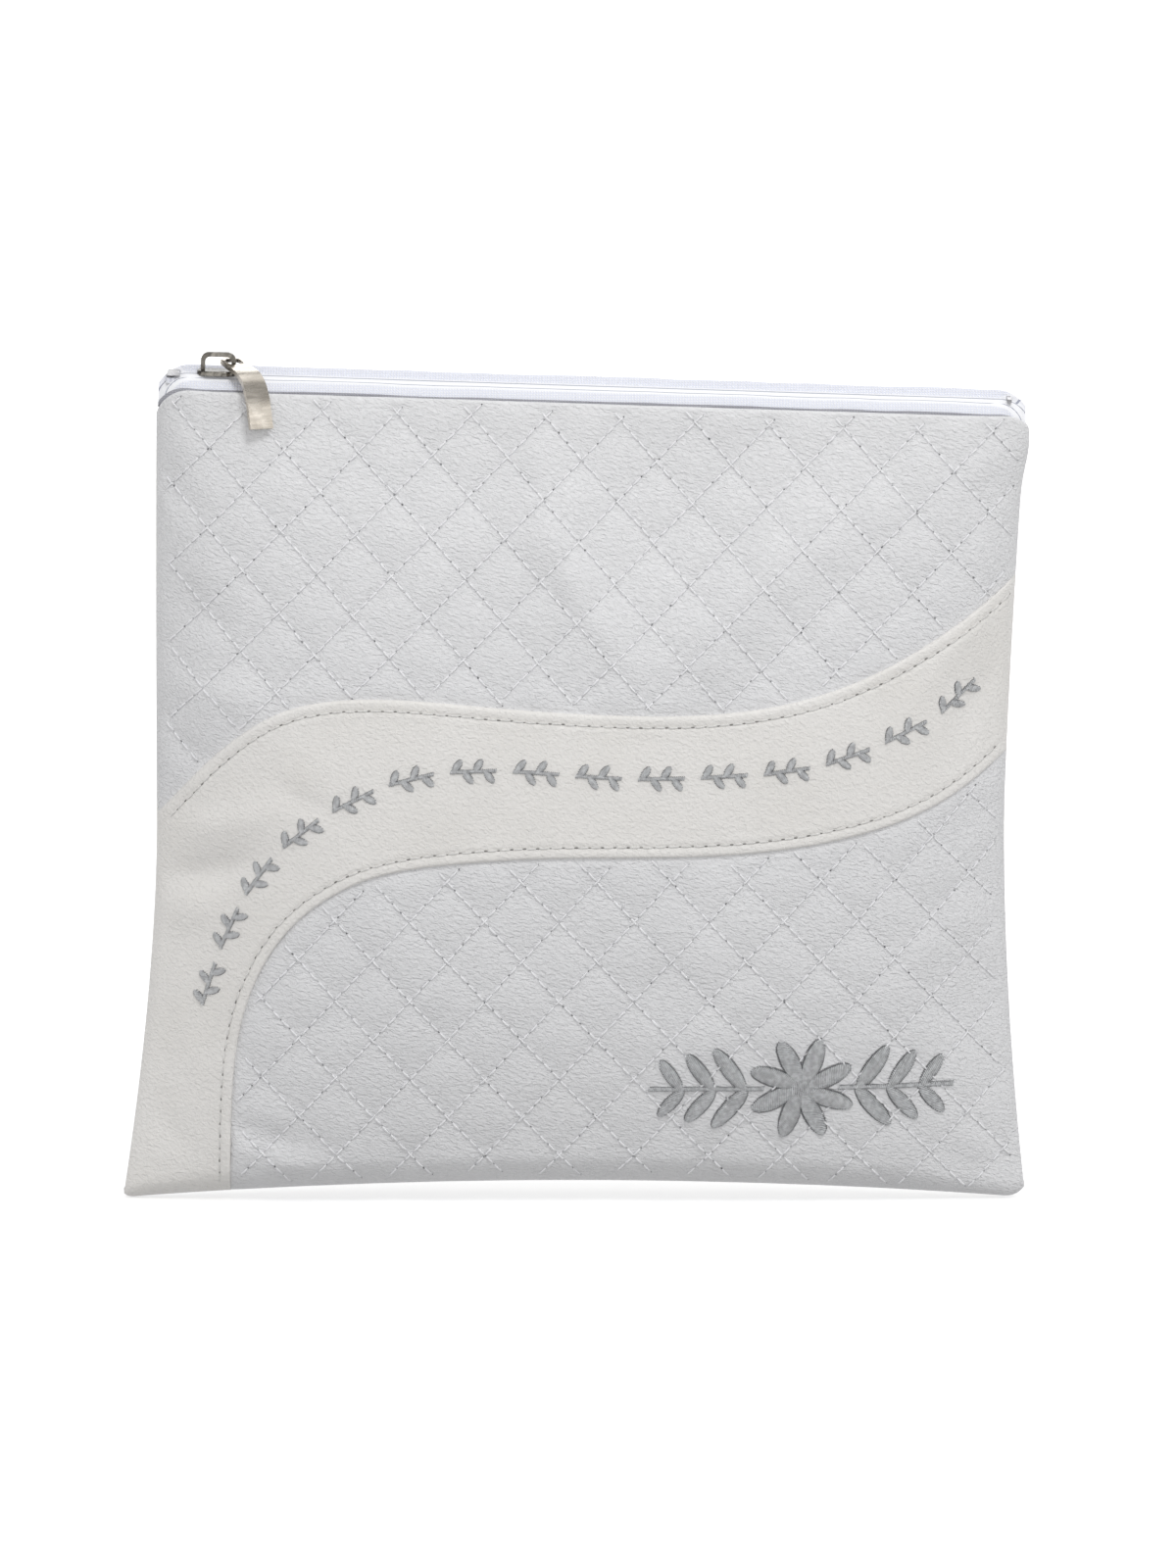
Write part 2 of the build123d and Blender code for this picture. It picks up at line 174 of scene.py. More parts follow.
def swell(x, z, side):
    """How far the stuffed skin stands out from the CAD's shape."""
    last = CELLS - 1
    gx = np.clip((x - GRID_LEFT) / GRID_WIDE * last, 0, last - 0.001)
    gz = np.clip(z / GRID_TALL * last, 0, last - 0.001)
    ix, iz = gx.astype(int), gz.astype(int)
    fx, fz = gx - ix, gz - iz
    g = swell_grid[side]
    low = g[ix, iz] * (1 - fx) + g[ix + 1, iz] * fx
    high = g[ix, iz + 1] * (1 - fx) + g[ix + 1, iz + 1] * fx
    return low * (1 - fz) + high * fz


def fold(x, z, start, end, width, rise):
    """A soft crease or ridge along the line from start to end, fading out at both ends."""
    dx, dz = end[0] - start[0], end[1] - start[1]
    long = math.hypot(dx, dz)
    along = ((x - start[0]) * dx + (z - start[1]) * dz) / long
    across = ((x - start[0]) * dz - (z - start[1]) * dx) / long
    t = np.clip(along / long, 0, 1)
    bend = 0.06 * long * np.sin(t * np.pi)
    return rise * np.exp(-(((across - bend) / width) ** 2)) * np.sin(np.pi * t) ** 1.5


# (start, end, width, rise) of the soft folds that the stuffing pulls in the skin
FOLDS = [
    ((-17, 218), (26, 128), 7.0, 1.6), ((90, 198), (16, 130), 8.0, 1.8), ((34, 220), (24, 150), 17.0, -2.4),
    ((-118, 102), (-76, 112), 5.0, 1.3), ((-122, 89), (-78, 99), 4.4, -1.9), ((-116, 78), (-92, 87), 5.0, 0.9),
    ((-84, 120), (-62, 108), 3.6, -0.6), ((-110, 70), (-98, 30), 5.0, 0.5), ((-98, 26), (-62, 16), 3.4, -0.9),
    ((-98, 19), (-66, 9), 3.4, 0.8), ((-113, 210), (-102, 184), 5.0, -1.3), ((-119, 172), (-88, 158), 6.0, -1.4),
    ((-119, 149), (-78, 136), 6.5, 1.5), ((-114, 129), (-92, 121), 4.5, -0.9), ((118, 168), (86, 132), 4.2, 0.9),
    ((120, 158), (98, 118), 4.0, -1.0), ((119, 205), (102, 182), 4.0, -0.7), ((118, 112), (92, 92), 5.0, -0.8),
    ((118, 84), (80, 60), 6.5, 0.8), ((116, 66), (92, 40), 5.0, -0.8), ((-40, 20), (-52, 5), 4.0, -0.6),
    ((12, 18), (4, 5), 4.0, -0.5), ((30, 18), (38, 5), 3.6, -0.5), ((96, 20), (112, 6), 4.0, -0.8),
    ((-116, 34), (-102, 10), 3.6, -0.6), ((-30, 76), (-60, 30), 8.0, 0.7), ((10, 74), (40, 52), 8.0, -0.6),
]  # fmt: skip
BACK_FOLDS = [
    ((-110, 100), (-70, 90), 5.0, 0.9), ((-112, 88), (-74, 78), 4.5, -0.9), ((112, 130), (76, 120), 5.0, -0.9),
    ((112, 142), (80, 134), 5.0, 0.8), ((-20, 214), (20, 140), 8.0, 1.0), ((70, 200), (20, 136), 8.0, 1.0),
    ((-60, 24), (-80, 6), 4.0, -0.7), ((50, 22), (66, 6), 4.0, -0.7), ((-30, 90), (30, 60), 9.0, 0.8),
]  # fmt: skip


def skin_depth(x, z, side=0):
    """Half of the thickness out to the smooth skin, rolled in at the side seams and the foot."""
    d_side = from_side(x, z)
    u = np.clip((x - FOOT_MIDDLE) / FOOT_HALF, -1, 1)
    h = half_depth(x, z) + swell(x, z, side)
    inner = roll(d_side - 1.0, 14)
    h = h + inner * (0.35 * field(x, z, 34, 3 + side) + 0.16 * field(x, z, 12, 5 + side))
    for start, end, width, rise in BACK_FOLDS if side else FOLDS:
        h = h + inner * fold(x, z, start, end, width, rise)
    seam = 0.3
    edge = roll(d_side, 2.4) * roll(z - foot(x), 3 + 6.5 * (1 - u**6))
    return seam + (h - seam) * edge


# a crossing of the quilting lines, the diamonds' width and height, their tilt and a random seed
UPPER_QUILT = ((-48.9, 193.9), (19.85, 21.5), math.radians(1.9), 11)
LOWER_QUILT = ((-5.0, 80.0), (20.0, 21.9), 0.0, 12)
STITCH, TOPSTITCH = 3.32, 3.45  # pitches of the quilting and of the band's stitches


def lattice(x, z, quilt):
    """Coordinates of the two families of quilting lines: each is whole on its lines."""
    (cx, cz), (px, pz), tilt, _ = quilt
    dx, dz = x - cx, z - cz
    rx = math.cos(tilt) * dx - math.sin(tilt) * dz
    rz = math.sin(tilt) * dx + math.cos(tilt) * dz
    return rx / px + rz / pz, rx / px - rz / pz


def quilt_relief(x, z, quilt):
    """Height of the puffy cells above the smooth skin, sunk along the stitch lines."""
    a, b = lattice(x, z, quilt)
    (px, pz), seed = quilt[1], quilt[3]
    step, side = 1 / math.hypot(1 / px, 1 / pz), math.hypot(px, pz) / 2
    da, db = np.abs(a - np.round(a)) * step, np.abs(b - np.round(b)) * step
    table = np.random.RandomState(seed).uniform(-1, 1, (3, 64, 64))
    ia, ib = np.floor(a).astype(int) % 64, np.floor(b).astype(int) % 64
    puff = 1 + 0.16 * table[0, ia, ib]
    lean = 0.22 * (table[1, ia, ib] * (a % 1 - 0.5) + table[2, ia, ib] * (b % 1 - 0.5))
    wall = (1 - np.exp(-da / 2.0)) * (1 - np.exp(-db / 2.0))
    dome = 0.36 * np.sin(np.pi * (a % 1)) * np.sin(np.pi * (b % 1))
    relief = (0.3 * puff + lean) * wall + dome * puff - 0.33
    for d, along in ((da, b * side), (db, a * side)):
        phase = along / STITCH
        near = np.exp(-d / 0.9)
        pull = np.cos(2 * np.pi * phase)
        relief = relief - 0.13 * near * pull**2 * (pull > 0)
        pucker = field(along, d * 0.35, 1.6, seed + 7)
        relief = relief + 0.13 * np.exp(-d / 1.9) * (1 - near) * pucker
    return relief


def upper_depth(x, z):
    """Outer face of the upper quilted panel."""
    edge = away(x, z, top_line)
    top = mouth(x) - z
    calm = (1 - np.exp(-edge / 2.2)) * np.clip(top / 3.0, 0, 1) ** 0.7
    d_side = from_side(x, z)
    calm = calm * np.clip(d_side / 5, 0, 1) ** 0.7
    dip = 0.5 * np.exp(-edge / 1.3)
    return np.maximum(skin_depth(x, z) - dip + calm * quilt_relief(x, z, UPPER_QUILT), 0.05)


def lower_depth(x, z):
    """Outer face of the lower quilted panel."""
    edge = away(x, z, bottom_line)
    d_side = right_side(z) - x
    calm = (1 - np.exp(-edge / 2.2)) * np.clip(d_side / 5, 0, 1) ** 0.7
    calm = calm * np.clip((z - foot(x)) / 7, 0, 1) ** 0.7
    dip = 0.5 * np.exp(-edge / 1.3)
    return np.maximum(skin_depth(x, z) - dip + calm * quilt_relief(x, z, LOWER_QUILT), 0.05)


def band_depth(x, z):
    """Outer face of the band, with its rolled rim and the groove that its topstitching pulls."""
    d = np.minimum(away(x, z, top_line), away(x, z, bottom_line))
    d_side = from_side(x, z)
    calm = np.clip(d_side / 3, 0, 1) * np.clip((z - foot(x)) / 4, 0, 1)
    rim = 0.12 * np.exp(-(((d - 1.35) / 0.9) ** 2)) - 0.2 * np.exp(-(((d - 3.0) / 0.6) ** 2))
    rim = rim + 0.06 * np.exp(-(((d - 4.3) / 0.9) ** 2))
    ripple = 0.07 * field(x, z, 3.4, 31) * np.exp(-(((d - 3.0) / 2.2) ** 2))
    rise = -0.55 + 1.15 * roll(d, 0.75)
    return np.maximum(skin_depth(x, z) + rise * calm + (rim + ripple) * calm, 0.05)


# -------------------------------- mesh helpers
def make_object(name, verts, faces):
    """A mesh object from millimetre points and faces."""
    mesh = bpy.data.meshes.new(name)
    mesh.from_pydata((np.asarray(verts) * MM).tolist(), [], faces)
    mesh.polygons.foreach_set("use_smooth", [True] * len(mesh.polygons))
    mesh.update()
    made = bpy.data.objects.new(name, mesh)
    scene.collection.objects.link(made)
    return made


def grid_faces(rows, cols, start=0, flip=False, wrap=False):
    """Quads over a grid of rows by cols points."""
    r, c = np.meshgrid(np.arange(rows - 1), np.arange(cols if wrap else cols - 1), indexing="ij")
    a, b = start + r * cols + c, start + r * cols + (c + 1) % cols
    quads = np.stack([a, b, b + cols, a + cols], -1).reshape(-1, 4)
    return (quads[:, ::-1] if flip else quads).tolist()


def closed_skin(name, outer, inner, flip=False):
    """A thin closed piece between two grids of points, joined round their border."""
    rows, cols = outer.shape[:2]
    count = rows * cols
    faces = grid_faces(rows, cols, 0, flip) + grid_faces(rows, cols, count, not flip)
    ring = [(0, c) for c in range(cols)] + [(r, cols - 1) for r in range(1, rows)]
    ring += [(rows - 1, c) for c in range(cols - 2, -1, -1)] + [(r, 0) for r in range(rows - 2, 0, -1)]
    loop = [r * cols + c for r, c in ring]
    for a, b in zip(loop, loop[1:] + loop[:1]):
        quad = [b, a, a + count, b + count]
        faces.append(quad[::-1] if flip else quad)
    return make_object(name, np.concatenate([outer.reshape(-1, 3), inner.reshape(-1, 3)]), faces)


def strokes(start, end, out, radius, bow, dive, sides=6):
    """Short threads from start to end, bowed outwards by bow and diving by dive at both ends."""
    t = np.array([0, 0.1, 0.3, 0.5, 0.7, 0.9, 1.0])
    size = np.array([0.45, 0.85, 1, 1, 1, 0.85, 0.45])
    lift = np.array([-1.0, -0.35, 0, 0, 0, -0.35, -1.0])
    arch = np.sin(np.pi * t)
    n = len(start)
    axis = end - start
    axis = axis / np.maximum(np.linalg.norm(axis, axis=1, keepdims=True), 1e-9)
    across = np.cross(axis, out)
    across = across / np.maximum(np.linalg.norm(across, axis=1, keepdims=True), 1e-9)
    up = np.cross(across, axis)
    centre = start[:, None] + (end - start)[:, None] * t[None, :, None]
    centre = centre + out[:, None] * (bow[:, None] * arch + dive * lift[None])[:, :, None]
    turn = np.arange(sides) / sides * 2 * np.pi
    ring = across[:, None, None] * np.cos(turn)[None, None, :, None]
    ring = ring + up[:, None, None] * np.sin(turn)[None, None, :, None]
    verts = centre[:, :, None] + ring * (radius * size)[None, :, None, None]
    each = len(t) * sides
    one = np.array(grid_faces(len(t), sides, 0, True, True))
    faces = (one[None] + (np.arange(n) * each)[:, None, None]).reshape(-1, 4).tolist()
    caps = []
    for k in range(n):
        caps.append([k * each + s for s in range(sides)])
        caps.append([k * each + each - 1 - s for s in range(sides)])
    return verts.reshape(-1, 3), faces + caps


def pits(centre, out, along, long, wide):
    """Needle holes: small flat lens shapes lying in the surface, coloured dark as painted shade."""
    across = np.cross(out, along)
    turn = np.arange(8) / 8 * 2 * np.pi
    size = np.random.RandomState(5).uniform(0.7, 1.15, len(centre))[:, None, None]
    ring = centre[:, None] + along[:, None] * (np.cos(turn) * long)[None, :, None] * size
    ring = ring + across[:, None] * (np.sin(turn) * wide)[None, :, None] * size
    verts = np.concatenate([ring, (centre + out * 0.05)[:, None], (centre - out * 0.3)[:, None]], 1)
    faces = []
    for k in range(len(centre)):
        base = k * 10
        for s in range(8):
            a, b = base + s, base + (s + 1) % 8
            faces.append([a, b, base + 8])
            faces.append([b, a, base + 9])
    return verts.reshape(-1, 3), faces


def normals(depth, x, z):
    """Outward directions of the front skin at (x, z)."""
    e = 0.6
    gx = (depth(x + e, z) - depth(x - e, z)) / (2 * e)
    gz = (depth(x, z + e) - depth(x, z - e)) / (2 * e)
    n = np.stack([-gx, -np.ones_like(gx), -gz], -1)
    return n / np.linalg.norm(n, axis=1, keepdims=True)


def lift(depth, x, z, rise=0.0):
    """Points on the front skin, raised by rise."""
    return np.stack([x, -(depth(x, z) + rise), z], -1)


# -------------------------------- materials
def colour(r, g, b):
    return (r, g, b, 1)


class Paint:
    """A node material with a principled shader and helpers to feed its colour and bump."""

    def __init__(self, name, base, roughness, metallic=0.0, **sockets):
        self.material = bpy.data.materials.new(name)
        self.material.use_nodes = True
        self.tree = self.material.node_tree
        self.shader = self.tree.nodes["Principled BSDF"]
        self.shader.inputs["Base Color"].default_value = base
        self.shader.inputs["Roughness"].default_value = roughness
        self.shader.inputs["Metallic"].default_value = metallic
        for socket, value in sockets.items():
            self.shader.inputs[socket.replace("_", " ")].default_value = value
        self.place = self.node("ShaderNodeTexCoord").outputs["Object"]

    def node(self, kind, **settings):
        made = self.tree.nodes.new(kind)
        for key, value in settings.items():
            setattr(made, key, value)
        return made

    def link(self, a, b):
        self.tree.links.new(a, b)

    def scaled(self, scale, turn=(0, 0, 0), kind="POINT"):
        made = self.node("ShaderNodeMapping", vector_type=kind)
        made.inputs["Scale"].default_value = scale
        made.inputs["Rotation"].default_value = turn
        self.link(self.place, made.inputs["Vector"])
        return made.outputs["Vector"]

    def texture(self, kind, output, at, values, **settings):
        made = self.node(kind, **settings)
        for socket, value in values.items():
            made.inputs[socket].default_value = value
        self.link(at or self.place, made.inputs["Vector"])
        return made.outputs[output]

    def noise(self, scale, detail=3.0, distortion=0.0, at=None, rough=0.5):
        values = {"Scale": scale, "Detail": detail, "Distortion": distortion, "Roughness": rough}
        return self.texture("ShaderNodeTexNoise", "Fac", at, values)

    def cells(self, scale, feature="F1", at=None):
        return self.texture("ShaderNodeTexVoronoi", "Distance", at, {"Scale": scale}, feature=feature)

    def wave(self, scale, direction, distortion=0.0):
        values = {"Scale": scale, "Distortion": distortion}
        return self.texture("ShaderNodeTexWave", "Fac", None, values, bands_direction=direction)

    def math(self, operation, a, b=None):
        made = self.node("ShaderNodeMath", operation=operation)
        for n, value in enumerate(v for v in (a, b) if v is not None):
            if isinstance(value, (int, float)):
                made.inputs[n].default_value = value
            else:
                self.link(value, made.inputs[n])
        return made.outputs["Value"]

    def ramp(self, fac, low, high, from_colour, to_colour):
        made = self.node("ShaderNodeValToRGB")
        made.color_ramp.elements[0].position = low
        made.color_ramp.elements[0].color = from_colour
        made.color_ramp.elements[1].position = high
        made.color_ramp.elements[1].color = to_colour
        self.link(fac, made.inputs["Fac"])
        return made.outputs["Color"]

    def spread(self, fac, low, high, to_low=0.0, to_high=1.0):
        made = self.node("ShaderNodeMapRange")
        for socket, value in zip(("From Min", "From Max", "To Min", "To Max"), (low, high, to_low, to_high)):
            made.inputs[socket].default_value = value
        self.link(fac, made.inputs["Value"])
        return made.outputs["Result"]

    def mix(self, fac, a, b):
        made = self.node("ShaderNodeMix", data_type="RGBA")
        self.link(fac, made.inputs[0])
        for n, value in ((6, a), (7, b)):
            if isinstance(value, tuple):
                made.inputs[n].default_value = value
            else:
                self.link(value, made.inputs[n])
        return made.outputs[2]

    def bump(self, height, distance, strength=1.0, before=None):
        made = self.node("ShaderNodeBump")
        made.inputs["Distance"].default_value = distance
        made.inputs["Strength"].default_value = strength
        self.link(height, made.inputs["Height"])
        if before:
            self.link(before, made.inputs["Normal"])
        self.link(made.outputs["Normal"], self.shader.inputs["Normal"])
        return made.outputs["Normal"]

    def into(self, socket, value):
        self.link(value, self.shader.inputs[socket])


def leather(name, base, shade, grain, depth, roughness, drawn):
    """Coated leatherette: a grain of small ridges drawn out sideways, pores, slow changes of tone and painted shade
    in the grain's hollows.
    """
    p = Paint(name, base, roughness)
    along = p.scaled((drawn, 1.0, 1.0), (0, math.radians(15), 0), "TEXTURE")
    ridge = p.spread(p.noise(grain, 2.0, 0.7, along, 0.45), 0.32, 0.68)
    pebble = p.cells(grain * 1.2, "SMOOTH_F1", along)
    height = p.math("ADD", ridge, p.math("MULTIPLY", pebble, 0.5))
    tone = p.noise(38, 3.0, 0.4)
    mixed = p.mix(p.spread(tone, 0.35, 0.65), base, shade)
    # painted shade: the colour darkens where the grain's height is low
    deep = p.mix(p.spread(height, 0.15, 0.8), tuple(0.955 * v for v in base[:3]) + (1,), mixed)
    p.into("Base Color", deep)
    p.into("Roughness", p.spread(tone, 0.3, 0.7, roughness - 0.05, roughness + 0.07))
    slow = p.bump(p.noise(130, 2.0, 0.6), 0.0004, 0.35)
    p.bump(height, depth, 0.9, slow)
    return p.material


def thread_paint(name, base, shade, roughness, metallic=0.0):
    """Twisted thread: fine slanting plies and a little change from strand to strand."""
    p = Paint(name, base, roughness, metallic)
    tone = p.noise(900, 2.0, 0.2)
    p.into("Base Color", p.mix(p.spread(tone, 0.35, 0.65), base, shade))
    ply = p.wave(1500, "DIAGONAL", 1.5)
    p.into("Roughness", p.spread(tone, 0.3, 0.7, roughness - 0.08, roughness + 0.1))
    p.bump(ply, 0.00006, 0.8)
    return p.material


def cloth_paint(name, base, shade, scale, depth, grooves=(), plain=None):
    """Woven cloth: crossing yarns with a soft fuzz, with painted shade where the weave dips between the yarns.

    It has painted shade in grooves at some distances from the middle plane, and is closely woven nearer to it than
    plain."""
    p = Paint(name, base, 0.75, Sheen_Weight=0.15)
    warp, weft = p.wave(scale, "X", 0.4), p.wave(scale * 1.2, "Z", 0.4)
    weave = p.math("MULTIPLY", warp, weft)
    fuzz = p.noise(scale * 4, 2.0)
    split = p.node("ShaderNodeSeparateXYZ")
    p.link(p.place, split.inputs[0])
    off = p.math("ABSOLUTE", split.outputs["Y"])
    if plain:
        open_weave = p.spread(off, (plain - 0.3) * MM, (plain + 0.3) * MM, 0.12, 1.0)
        weave = p.math("SUBTRACT", 1.0, p.math("MULTIPLY", p.math("SUBTRACT", 1.0, weave), open_weave))
    # painted shade: the colour darkens where the weave dips between the yarns
    painted_cloth_shade = p.mix(p.spread(weave, 0.0, 0.8), shade, base)
    # painted shade in the grooves: the gap between the two tape halves and the sewn groove beside the bead
    for middle, half in grooves:
        near = p.math("ABSOLUTE", p.math("SUBTRACT", off, middle * MM))
        painted_cloth_shade = p.mix(p.spread(near, half * 0.6 * MM, half * MM), colour(0.36, 0.38, 0.46), painted_cloth_shade)
    p.into("Base Color", painted_cloth_shade)
    p.bump(p.math("ADD", weave, p.math("MULTIPLY", fuzz, 0.3)), depth, 0.8)
    return p.material


def metal_paint(name, base, shade, roughness, brush, reflection_patch_scale=260):
    """Plated metal: brushed lines, small nicks and light and dark patches painted into the colour as reflections."""
    p = Paint(name, base, roughness, 1.0)
    lines = p.noise(220, 4.0, 0.0, p.scaled(brush), 0.6)
    patch = p.noise(reflection_patch_scale, 3.0, 0.8)
    # painted reflections: the colour changes in patches between base and shade
    p.into("Base Color", p.mix(p.spread(patch, 0.38, 0.62), base, shade))
    p.into("Roughness", p.spread(lines, 0.25, 0.75, roughness - 0.07, roughness + 0.14))
    nick = p.spread(p.cells(700), 0.02, 0.08)
    height = p.math("ADD", lines, p.math("MULTIPLY", nick, 0.25))
    p.bump(height, 0.00002, 0.7)
    return p.material


quilted = leather("quilted_leather", colour(0.83, 0.83, 0.842), colour(0.80, 0.80, 0.812), 1350, 0.00026, 0.44, 2.0)
smooth = leather("smooth_leather", colour(0.87, 0.852, 0.828), colour(0.84, 0.82, 0.79), 1150, 0.00017, 0.41, 1.3)
backing = leather("back_leather", colour(0.80, 0.797, 0.79), colour(0.77, 0.765, 0.757), 1300, 0.0001, 0.44, 1.5)
white_thread = thread_paint("white_thread", colour(0.97, 0.97, 0.985), colour(0.93, 0.93, 0.95), 0.5)
ivory_thread = thread_paint("ivory_thread", colour(0.86, 0.85, 0.83), colour(0.74, 0.73, 0.71), 0.5)
silver = thread_paint("silver_thread", colour(0.60, 0.61, 0.62), colour(0.44, 0.445, 0.455), 0.36, 0.4)
# painted shade: a dark copy of the silver thread for the ends of each satin stitch, where it dives into the leather
silver_end_shade = thread_paint("silver_thread_painted_end_shade", colour(0.2, 0.203, 0.21), colour(0.12, 0.122, 0.127), 0.5, 0.3)
# painted shade: the needle holes' materials are dark, standing in for the shade inside the holes, and the quilting
# holes' shade varies from hole to hole
needle = Paint("needle_hole", colour(0.3, 0.29, 0.28), 0.9)
needle.into("Base Color", needle.mix(needle.noise(500), colour(0.14, 0.135, 0.13), colour(0.42, 0.41, 0.39)))
quilt_hole = Paint("quilt_needle_hole", colour(0.4, 0.4, 0.42), 0.9)
painted_hole_shade = quilt_hole.ramp(quilt_hole.noise(300), 0.38, 0.58, colour(0.16, 0.16, 0.17), colour(0.72, 0.72, 0.74))
quilt_hole.into("Base Color", painted_hole_shade)
# painted shade in the tape's gap at the middle plane and in its sewn groove 3.15 mm out
tape_paint = cloth_paint(
    "zip_tape", colour(0.96, 0.965, 0.995), colour(0.78, 0.80, 0.89), 420, 0.00022, ((0.0, 1.1), (3.15, 0.14)), 4.4
)
# painted shade: a darker copy of the tape material for the front tape's rows that go down into the leather's fold
fold_shade_paint = cloth_paint("zip_tape_painted_fold_shade", colour(0.47, 0.47, 0.51), colour(0.36, 0.36, 0.4), 420, 0.0002)
lining_paint = cloth_paint("lining", colour(0.72, 0.72, 0.73), colour(0.58, 0.58, 0.6), 500, 0.00008)
nylon = Paint("zip_coil", colour(0.80, 0.82, 0.88), 0.35)
nylon.into("Base Color", nylon.mix(nylon.noise(500), colour(0.86, 0.87, 0.92), colour(0.7, 0.72, 0.8)))
nylon.bump(nylon.wave(900, "X"), 0.00004, 0.6)
foam_paint = Paint("foam", colour(0.78, 0.77, 0.72), 0.9)
pores = foam_paint.cells(900)
# painted shade: the foam's pores are coloured darker
foam_paint.into("Base Color", foam_paint.ramp(pores, 0.05, 0.5, colour(0.5, 0.49, 0.45), colour(0.8, 0.79, 0.74)))
foam_paint.bump(pores, 0.0003, 0.8)
# painted reflections: each metal's darker shade colour gathers in patches
chrome = metal_paint("bright_metal", colour(0.50, 0.50, 0.51), colour(0.2, 0.2, 0.21), 0.16, (1, 6, 1))
steel = metal_paint("dark_wire", colour(0.30, 0.30, 0.31), colour(0.2, 0.2, 0.21), 0.35, (1, 6, 1))
nickel = metal_paint("slider_metal", colour(0.24, 0.225, 0.2), colour(0.07, 0.064, 0.056), 0.2, (5, 1, 1))
satin = metal_paint("puller_metal", colour(0.63, 0.585, 0.52), colour(0.46, 0.42, 0.365), 0.24, (1, 1, 6), 110)


def dress(made, *materials):
    made.data.materials.clear()
    for material in materials:
        made.data.materials.append(material)
    return made


# -------------------------------- the stuffed form
FARTHEST = 6  # millimetres that the simulation may move a point


def stuffed_form():
    """Blows up a closed, slightly smaller form of the pouch as cloth, and notes how its skin moves."""
    steps = 46
    u, v = np.meshgrid(np.linspace(0, 1, steps + 1), np.linspace(0, 1, steps + 1), indexing="ij")
    z = 3 + v * 212
    x = left_side(z) + 2 + u * (right_side(z) - left_side(z) - 4)
    deep = np.maximum(half_depth(x, z) - 2.5, 1.2)
    front = np.stack([x, -deep, z], -1)
    back = np.stack([x, deep, z], -1)
    shape = closed_skin("stuffing", back, front)
    shape.modifiers.new("even", "REMESH").mode = "VOXEL"
    shape.modifiers["even"].voxel_size = 5 * MM
    bpy.context.view_layer.update()
    even = bpy.data.meshes.new_from_object(shape.evaluated_get(bpy.context.evaluated_depsgraph_get()))
    shape.modifiers.clear()
    shape.data = even
    rest = np.array([p.co for p in even.vertices])
    # the seams and the mouth hold the cloth
    group = shape.vertex_groups.new(name="held")
    for n, (px, _, pz) in enumerate(rest / MM):
        if from_side(px, pz) < 6 or not 6 <= pz <= 209:
            group.add([n], 1.0, "REPLACE")
    cloth = shape.modifiers.new("cloth", "CLOTH")
    cloth.settings.quality = 6
    cloth.settings.mass = 0.25
    cloth.settings.tension_stiffness = 25
    cloth.settings.compression_stiffness = 25
    cloth.settings.bending_stiffness = 2.5
    cloth.settings.use_pressure = True
    cloth.settings.uniform_pressure_force = 4
    cloth.settings.vertex_group_mass = "held"
    cloth.settings.effector_weights.gravity = 0
    for number in range(1, 21):
        scene.frame_set(number)
    blown = bpy.data.meshes.new_from_object(shape.evaluated_get(bpy.context.evaluated_depsgraph_get()))
    moved = np.array([p.co for p in blown.vertices])
    scene.frame_set(1)
    shape.modifiers.clear()
    step = moved - rest
    far = np.linalg.norm(step, axis=1, keepdims=True)
    moved = rest + step * np.minimum(1, FARTHEST * MM / np.maximum(far, 1e-9))
    tree = BVHTree.FromPolygons([Vector(p) for p in moved], [tuple(p.vertices) for p in blown.polygons])
    grid = np.zeros((2, CELLS, CELLS))
    last = CELLS - 1
    for side, way in ((0, 1), (1, -1)):
        for i in range(CELLS):
            for j in range(CELLS):
                x, z = GRID_LEFT + GRID_WIDE * i / last, GRID_TALL * j / last
                hit = tree.ray_cast(Vector((x * MM, -way * 0.2, z * MM)), Vector((0, way, 0)))[0]
                if hit is None:
                    continue
                grid[side, i, j] = abs(hit.y) / MM - half_depth(np.array(x), np.array(z))
    inside = grid[:, 4:-4, 4:-4]
    grid = grid - np.median(inside, axis=(1, 2), keepdims=True)
    i, j = np.meshgrid(np.arange(CELLS), np.arange(CELLS), indexing="ij")
    from_edge = np.minimum(np.minimum(i, last - i), np.minimum(j, last - j))
    fade = np.clip((from_edge - 2) / 5, 0, 1)
    bpy.data.objects.remove(shape)
    return np.clip(grid, -2.2, 0.9) * fade


swell_grid[:] = stuffed_form()

# -------------------------------- leather panels
# how far the first columns and rows of a panel's grid are from its edge
SEAM_STEPS = np.array([0, 0.04, 0.16, 0.36, 0.65, 1.0, 1.45, 1.95, 2.5, 3.1])
EDGE_ROWS = np.array([0, 0.05, 0.14, 0.28, 0.48, 0.75, 1.05, 1.4, 1.8, 2.2, 2.55, 2.8, 3.0, 3.2, 3.45, 3.8, 4.3, 5.0])
FOOT_ROWS = np.array([0, 0.06, 0.25, 0.55, 1.0, 1.55, 2.2, 3.0, 3.8, 4.6])
MOUTH_ROWS = np.array([0, 0.5, 1.0, 1.6, 2.3, 3.1])


def columns(start, step, extra=()):
    """Places of the grid's columns at the waist: close together at the side seams."""
    left = WAIST_LEFT + SEAM_STEPS if start is None else [start]
    middle = np.arange(left[-1] + step, WAIST_RIGHT - 3.1 - step / 2, step)
    return np.unique(np.round(np.r_[left, middle, WAIST_RIGHT - SEAM_STEPS, extra], 3))


